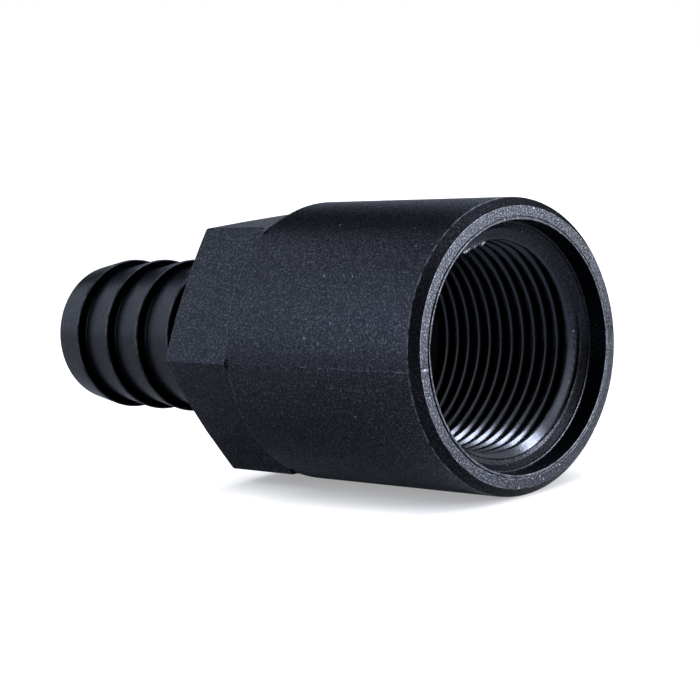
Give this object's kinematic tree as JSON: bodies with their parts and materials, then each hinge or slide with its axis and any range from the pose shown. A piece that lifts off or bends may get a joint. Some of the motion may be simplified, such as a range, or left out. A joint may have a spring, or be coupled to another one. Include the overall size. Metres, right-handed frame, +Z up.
{
  "type": "female threaded hose barb",
  "caption": "Moulded black hose barb with a hexagon and a female socket for a parallel pipe thread, joining a push-on hose to a male threaded pipe end.",
  "frame": {"origin": "centre of the socket's mouth, on the fitting's axis and in the plane of its flat rim", "axes": "+X along the fitting's axis, out of the socket's mouth, with the hose tail towards -X; +Z up, square to the upper flat of the hexagon; the socket lies on the surface below"},
  "size_m": [0.076, 0.0346, 0.0336],
  "materials": {
    "body": "matte, with the fine grain of a glass-filled moulding"
  },
  "bodies": {
    "root": {"hose_barb_fitting": "body"}
  },
  "joints": []
}
